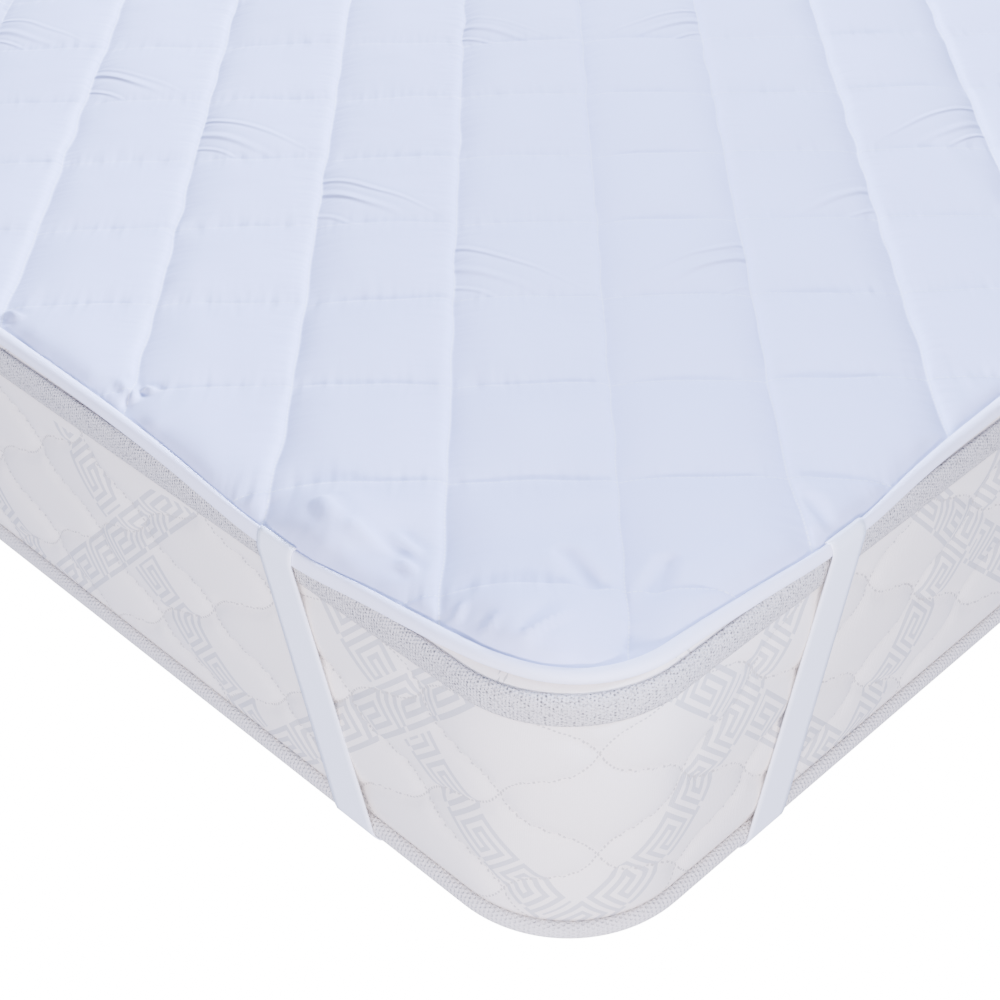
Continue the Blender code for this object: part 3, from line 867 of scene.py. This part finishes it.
def mattress_cover(sizes):
    """The mattress: a wall with soft ogee cells between its tapes, closed above and below.

    The wall bulges by 2.2 (1 - t^6) mm, with t from -1 at its foot to 1 at its top. Its
    cells are 55% the rise beside the seams, 1 - exp(-x / 0.035), and 45% round pillows, and
    are level with the bulge where they are 80% full. Within a tenth of the wall's height
    from each tape they fade into an even edge.
    """
    gap, edge_inset, bulge = 0.3 * MM, 1.2 * MM, 2.2 * MM
    place = np.linspace(-PERIMETER / 2, PERIMETER / 2, WALL_ROWS, endpoint=False)
    low, high = BOTTOM_TAPE_HIGH.z + gap, TOP_TAPE_LOW.z - gap
    heights = np.linspace(low, high, 44)
    part = (heights - low) / (high - low)
    base = 2.5 * MM - bulge * (1 - (2 * part - 1) ** 6)
    along, height = woven_place(*np.meshgrid(place, heights), sizes)
    a, b = ogee_lattice(along - OGEE_SHIFT[0], height + OGEE_SHIFT[1], sizes.ogee_width, sizes.ogee_height,
                        sizes.ogee_bend, np.sin)
    sharp = (1 - np.exp(-off_line(a) / 0.035)) * (1 - np.exp(-off_line(b) / 0.035))
    puff = 0.55 * sharp + 0.45 * pillow(a) * pillow(b)
    fade = smooth(np.minimum(part, 1 - part) / 0.10)[:, None]
    slack = 0.5 * MM * uneven(np.stack([along, height], axis=-1), 0.11, 6)
    inset = base[:, None] + (sizes.wall_puff * (0.8 - puff) + slack) * fade + edge_inset * (1 - fade)

    def ring(depth, level):
        """One row round the mattress at a depth inside the wall plane and a height."""
        return np.column_stack([walk(place, depth)[0], np.full(WALL_ROWS, level)])

    under = [ring(depth * MM, up * MM) for depth, up in MATTRESS_UNDER] + [ring(TAPE_SLOT, low)]
    wall = [ring(*row) for row in zip(inset, heights)]
    over = [ring(TAPE_SLOT, high)] + [ring(depth * MM, TOP - down * MM) for depth, down in MATTRESS_OVER]
    points = np.stack(under + wall + over)
    layer = np.stack(woven_place(np.broadcast_to(place, points.shape[:2]), points[..., 2], sizes), axis=-1)
    faces = grid_faces(*points.shape[:2]).tolist()
    total = points.shape[0] * WALL_ROWS
    faces += [list(range(WALL_ROWS - 1, -1, -1)), list(range(total - WALL_ROWS, total))]
    piece = mesh_object("mattress_cover", points, faces, layer)
    point_outwards(piece)
    return piece


def strap_path(axis):
    """The strap's middle line down a wall that runs along `axis`, and how much follows the rim.

    Each row is its inset from the wall plane, its place along the wall and its height.
    """
    over = [(PAD_INSET - out * MM, TOP + up * MM) for out, up in STRAP_OVER_BINDING]
    face = -TAPE_PROUD - 0.5 * MM
    low, high = BOTTOM_TAPE_LOW.z, BOTTOM_TAPE_HIGH.z
    down = [(face, high - 3 * MM), (face, low + 6 * MM), (face + 0.5 * MM, low + 2.8 * MM),
            (0.2 * MM, STRAP_THICKNESS)]
    slant = STRAP_TOP_AT[axis] - STRAP_BOTTOM_AT[axis]
    rows = [(inset, STRAP_TOP_AT[axis] - slant * np.clip((TOP - height) / TOP, 0, 1), height)
            for inset, height in over + down]
    return np.array(rows), len(over)


def strap(name, sx, sy):
    """One elastic strap: over the binding, down one wall, under the corner and up the other.

    A flat section is carried along the path, with its width level on the walls. Under the
    corner it runs at 45 degrees and is spread towards its full width by a sine. It is thinner
    where it is sewn on. The length of its middle line is returned with it.
    """
    across = np.linspace(-0.5, 0.5, 9)
    walls, outs = [], []
    for axis in (1, 0):
        path, soft = strap_path(axis)
        slant = STRAP_TOP_AT[axis] - STRAP_BOTTOM_AT[axis]
        wide = STRAP_WIDTH / math.cos(math.atan2(slant, TOP))
        rows = np.repeat(path[:, None, :], len(across), axis=1)
        narrowed = 1 - (1 - STRAP_END_SHARE) * smooth((path[:, 2] - TOP) / STRAP_NARROWING + 1)
        rows[..., 1] += across * wide * narrowed[:, None]
        if axis == 0:
            rows = rows[..., [1, 0, 2]]
        rows = rows * (-sx, -sy, 1) + (sx * WIDTH / 2, sy * LENGTH / 2, 0)
        rows[:soft] = settled(rows[:soft])
        side = 1 - axis
        run = np.gradient(rows.mean(axis=1), axis=0)[:, [side, 2]]
        run /= np.linalg.norm(run, axis=1)[:, None]
        facing = (sx, sy)[side]
        out = np.zeros((len(rows), 3))
        out[:, side] = -facing * run[:, 1]
        out[:, 2] = facing * run[:, 0]
        out[-1] = (0, 0, -1)
        walls.append(rows)
        outs.append(out)
    start, end = walls[0][-1], walls[1][-1]
    part = np.linspace(0, 1, 14)[1:-1, None, None]
    base = start + (end - start) * part
    spread = np.sin(math.pi * part[:, 0, 0])[:, None] * across * 2 * STRAP_UNDER_SPREAD
    base[..., 0] -= sx * spread
    base[..., 1] -= sy * spread
    down = np.tile((0.0, 0.0, -1.0), (len(base), 1))
    inner = np.concatenate([walls[0], base, walls[1][::-1]])
    out = np.concatenate([outs[0], down, outs[1][::-1]])[:, None, :] * STRAP_THICKNESS
    for row, share in enumerate(STRAP_END_THICKNESS):
        out[row] *= share
        out[-1 - row] *= share
    outer = inner + out
    rings = np.concatenate([inner, outer[:, ::-1]], axis=1)
    middle = inner.mean(axis=1)
    along = np.concatenate([[0], np.cumsum(np.linalg.norm(np.diff(middle, axis=0), axis=1))])
    width = np.concatenate([across, across[::-1]]) * STRAP_WIDTH
    layer = np.stack(np.broadcast_arrays(along[:, None], width[None, :]), axis=-1)
    rows, columns = rings.shape[:2]
    faces = grid_faces(rows, columns).tolist()
    last = (rows - 1) * columns
    faces += [list(range(columns)), list(range(last + columns - 1, last - 1, -1))]
    piece = mesh_object(name, rings, faces, layer)
    point_outwards(piece)
    return piece, round(float(along[-1]), 3)


# Settings that a user would change

def length_property(name, description, default):
    """A setting in metres."""
    return bpy.props.FloatProperty(
        name=name, description=description, default=default, min=0.0, unit="LENGTH", subtype="DISTANCE",
        precision=4,
    )


def colour_property(name, description, default):
    """A setting that is a colour."""
    return bpy.props.FloatVectorProperty(
        name=name, description=description, default=default, min=0.0, max=1.0, size=3, subtype="COLOR",
    )


class ProtectorSizes(bpy.types.PropertyGroup):
    """Heights and widths of the quilting and of the mattress's border."""

    seam_height: length_property("Seam height", "Height of the stitched lines above the mattress", 2.9 * MM)
    crown_height: length_property("Crown height", "Height of the pillows above the mattress", 9.6 * MM)
    seam_edge: length_property("Seam edge", "Distance over which the cloth rises from a stitched line", 2.1 * MM)
    seam_slope: length_property("Seam slope", "The same distance on the square's shallow side", 11 * MM)
    cross_depth: bpy.props.FloatProperty(
        name="Cross seams", description="Depth of the seams across the view as a share of the others' depth",
        default=0.26, min=0.0, max=1.0, subtype="FACTOR",
    )
    fullness: bpy.props.FloatProperty(
        name="Fullness", description="How much fuller or flatter one pillow is than another, as a share",
        default=0.12, min=0.0, max=0.5, subtype="FACTOR",
    )
    seam_share: bpy.props.FloatProperty(
        name="Seam share", description="Share of the height that is gained beside the stitched line",
        default=0.6, min=0.0, max=1.0, subtype="FACTOR",
    )
    wall_puff: length_property("Border puff", "How far the border's cells stand out of their seams", 5.4 * MM)
    ogee_width: length_property("Ogee width", "Width of two ogee cells of the border", 108 * MM)
    ogee_height: length_property("Ogee height", "Height of two ogee cells of the border", 72 * MM)
    ogee_bend: bpy.props.FloatProperty(
        name="Ogee bend", description="How strongly the border's stitched lines swing", default=0.4,
        min=0.0, max=0.9, subtype="FACTOR",
    )
    key_cell: length_property("Key line", "Width of one line of the Greek key", 3.1 * MM)
    key_height: length_property("Key crossing height", "Height at which the key bands cross", 110 * MM)
    key_top: length_property("Key top", "Height at which the woven bands end", 158 * MM)
    key_bands: bpy.props.IntProperty(
        name="Key bands", description="Number of crossings round the mattress", default=26, min=1,
    )


class ProtectorColours(bpy.types.PropertyGroup):
    """Colours of the cloths."""

    panel: colour_property("Panel", "Quilted cotton", (0.62, 0.66, 0.93))
    # The thread's colour is lighter than the panel's: partly its own colour, partly a painted highlight.
    thread_highlight: colour_property("Thread", "Quilting thread", (0.80, 0.83, 0.99))
    binding: colour_property("Binding", "Binding tape", (0.88, 0.88, 1.0))
    elastic: colour_property("Elastic", "Corner straps", (0.92, 0.94, 0.98))
    selvedge: colour_property("Selvedge", "Edges of the corner straps", (0.93, 0.94, 0.98))
    ticking: colour_property("Ticking", "Ground of the mattress's border", (0.93, 0.85, 0.75))
    figure: colour_property("Key figure", "Woven lines of the Greek key", (0.58, 0.555, 0.53))
    tape: colour_property("Edge tape", "Tapes round the mattress's edges", (0.75, 0.70, 0.64))


class StudioSettings(bpy.types.PropertyGroup):
    """Camera, lights and floor."""

    camera_place: bpy.props.FloatVectorProperty(
        name="Camera", description="Place of the camera", default=(-0.8919, -1.4105, 0.7953), subtype="XYZ",
        unit="LENGTH",
    )
    heading: bpy.props.FloatProperty(
        name="Heading", description="Turn of the view from +Y towards +X", default=math.radians(44.16),
        unit="ROTATION", subtype="ANGLE",
    )
    tilt: bpy.props.FloatProperty(
        name="Tilt", description="How far the view looks down", default=math.radians(38.229),
        unit="ROTATION", subtype="ANGLE",
    )
    roll: bpy.props.FloatProperty(
        name="Roll", description="Turn of the camera about its own axis", default=math.radians(-1.354),
        unit="ROTATION", subtype="ANGLE",
    )
    lens: bpy.props.FloatProperty(name="Lens", description="Focal length in millimetres", default=68.2, min=1.0)
    sky: bpy.props.FloatProperty(name="Sky", description="Strength of the even light", default=1.42, min=0.0)
    glow: bpy.props.FloatProperty(name="Floor glow", description="Brightness of the floor", default=15.0, min=0.0)
    aim: bpy.props.FloatVectorProperty(
        name="Aim", description="Point on the panel between the side lights' beams",
        default=(-0.0165, -0.6605, 0.18), subtype="XYZ", unit="LENGTH",
    )
    beam_aside: length_property("Beam aside", "How far each side light aims beyond that point", 0.37)
    beam: bpy.props.FloatProperty(
        name="Beam", description="Spread of the side lights' beams", default=math.radians(13),
        unit="ROTATION", subtype="ANGLE",
    )
    key_light: bpy.props.FloatProperty(
        name="Side lights", description="Power of each side light", default=12.0, min=0.0, unit="POWER",
    )
    back_light: bpy.props.FloatProperty(
        name="Back light", description="Power of the light behind", default=125.0, min=0.0, unit="POWER",
    )
    low_light: bpy.props.FloatProperty(
        name="Low light", description="Power of the low light on the walls", default=92.0, min=0.0, unit="POWER",
    )
    cold: colour_property("Cold light", "Colour of the sky and of the upper lights", (0.54, 0.635, 1.0))
    pale: colour_property("Pale light", "Colour of the low light", (0.86, 0.82, 1.0))


def soft_light(name, aim, offset, size, power, spread, colour):
    """A rectangular light at an offset from the point that it is aimed at, `spread` wide."""
    light = bpy.data.lights.new(name, "AREA")
    light.shape, light.size, light.size_y = "RECTANGLE", *size
    light.energy, light.spread, light.color = power, spread, colour
    lamp = bpy.data.objects.new(name, light)
    lamp.location = aim + offset
    lamp.rotation_euler = (-offset).to_track_quat("-Z", "Y").to_euler()
    bpy.context.scene.collection.objects.link(lamp)


class ClothOperator:
    """What all operators here share: they read the scene's settings."""

    bl_options = {"REGISTER", "UNDO"}


class OBJECT_OT_protector_panel(ClothOperator, bpy.types.Operator):
    """Build the quilted panel and the binding round its rim"""

    bl_idname = "object.protector_panel"
    bl_label = "Panel and Binding"

    def execute(self, context):
        sizes, colours = context.scene.protector_sizes, context.scene.protector_colours
        binding = dress(binding_tape(), binding_finish(colours), ["pad_binding"])
        panel = dress(quilted_panel(sizes), cotton_finish(colours), ["quilted_pad"])
        return {"FINISHED"}


class OBJECT_OT_protector_straps(ClothOperator, bpy.types.Operator):
    """Build the four elastic straps under the mattress's corners"""

    bl_idname = "object.protector_straps"
    bl_label = "Corner Straps"

    def execute(self, context):
        finish = elastic_finish(context.scene.protector_colours)
        for corner, (sx, sy) in CORNERS.items():
            piece, length = strap(f"elastic_{corner}", sx, sy)
            dress(piece, finish, [f"strap_{corner}"])
        return {"FINISHED"}


class OBJECT_OT_protector_mattress(ClothOperator, bpy.types.Operator):
    """Build the mattress that the protector lies on, with its edge tapes"""

    bl_idname = "object.protector_mattress"
    bl_label = "Mattress"

    def execute(self, context):
        sizes, colours = context.scene.protector_sizes, context.scene.protector_colours
        cover = dress(mattress_cover(sizes), ticking_finish(colours, sizes), ["mattress_body"])
        # The upper tape's colour is 92% of the lower one's, as painted shade under the binding's rim.
        upper = tape_finish("mattress_top_tape", darker(colours.tape, 0.92), 1.0, 2.0 * MM, 1.2 * MM)
        lower = tape_finish("mattress_bottom_tape", colours.tape, 0.25, 2.6 * MM, 0.9 * MM)
        dress(top_tape(), upper, ["top_edge_tape"])
        dress(bottom_tape(), lower, ["bottom_edge_tape"])
        return {"FINISHED"}


class OBJECT_OT_protector_stage(ClothOperator, bpy.types.Operator):
    """Set up the pale floor, the soft light and the camera"""

    bl_idname = "object.protector_stage"
    bl_label = "Stage"

    def execute(self, context):
        studio = context.scene.protector_studio
        floor = mesh_object("floor", [(-8, -8, 0), (8, -8, 0), (8, 8, 0), (-8, 8, 0)], [(0, 1, 2, 3)])
        ground = Finish("floor", (0.95, 0.95, 0.95), 0.9, Emission_Color=(1, 1, 1, 1), Emission_Strength=studio.glow)
        floor.data.materials.append(ground.material)
        floor.visible_diffuse = floor.visible_glossy = False

        world = bpy.data.worlds.new("studio")
        world.use_nodes = True
        sky = world.node_tree.nodes["Background"]
        sky.inputs["Color"].default_value = (*studio.cold, 1)
        sky.inputs["Strength"].default_value = studio.sky
        context.scene.world = world

        ahead = Vector((math.sin(studio.heading), math.cos(studio.heading), 0))
        right = Vector((ahead.y, -ahead.x, 0))
        up = Vector((0, 0, 1))
        middle = Vector(studio.aim)
        # Two narrow beams cross over the panel: its left half is lit from the right, and its
        # right half from the left. A low light in front of the corner reaches the walls.
        for name, side in (("light_from_right", right), ("light_from_left", -right)):
            soft_light(name, middle - side * studio.beam_aside, side * 1.6 + up * 0.95, (2.0, 0.3),
                       studio.key_light, studio.beam, studio.cold)
        soft_light("light_from_behind", middle, ahead * 3.1 + up * 1.4, (1.2, 0.5), studio.back_light,
                   math.radians(120), studio.cold)
        corner = Vector((-WIDTH / 2, -LENGTH / 2, TOP / 2))
        soft_light("light_on_walls", corner, up * 0.4 - ahead * 2.0, (1.6, 0.16), studio.low_light,
                   math.radians(150), studio.pale)

        lens = bpy.data.cameras.new("camera")
        lens.lens, lens.sensor_width, lens.clip_start = studio.lens, 36.0, 0.05
        camera = bpy.data.objects.new("camera", lens)
        turn = (Matrix.Rotation(-studio.heading, 4, "Z") @ Matrix.Rotation(math.pi / 2 - studio.tilt, 4, "X")
                @ Matrix.Rotation(studio.roll, 4, "Z"))
        camera.matrix_world = Matrix.Translation(studio.camera_place) @ turn
        context.scene.collection.objects.link(camera)
        context.scene.camera = camera
        return {"FINISHED"}


class VIEW3D_PT_protector(bpy.types.Panel):
    """Settings and build steps of the mattress protector"""

    bl_label = "Mattress Protector"
    bl_space_type = "VIEW_3D"
    bl_region_type = "UI"
    bl_category = "Protector"

    def draw(self, context):
        layout = self.layout
        for group in ("protector_sizes", "protector_colours", "protector_studio"):
            settings = getattr(context.scene, group)
            box = layout.box()
            for name in settings.__annotations__:
                box.prop(settings, name)
        for operator in OPERATORS:
            layout.operator(operator.bl_idname)


OPERATORS = (
    OBJECT_OT_protector_mattress, OBJECT_OT_protector_panel, OBJECT_OT_protector_straps,
    OBJECT_OT_protector_stage,
)
SETTINGS = {
    "protector_sizes": ProtectorSizes,
    "protector_colours": ProtectorColours,
    "protector_studio": StudioSettings,
}


def register():
    """Register the settings, the operators and the sidebar panel."""
    for name, group in SETTINGS.items():
        bpy.utils.register_class(group)
        setattr(bpy.types.Scene, name, bpy.props.PointerProperty(type=group))
    for item in (*OPERATORS, VIEW3D_PT_protector):
        bpy.utils.register_class(item)


def unregister():
    """Take the panel, the operators and the settings away again."""
    for item in (VIEW3D_PT_protector, *reversed(OPERATORS)):
        bpy.utils.unregister_class(item)
    for name, group in SETTINGS.items():
        delattr(bpy.types.Scene, name)
        bpy.utils.unregister_class(group)


def main():
    """Build all pieces and the stage."""
    register()
    bpy.ops.object.protector_mattress()
    bpy.ops.object.protector_panel()
    bpy.ops.object.protector_straps()
    bpy.ops.object.protector_stage()


if __name__ == "__main__":
    main()
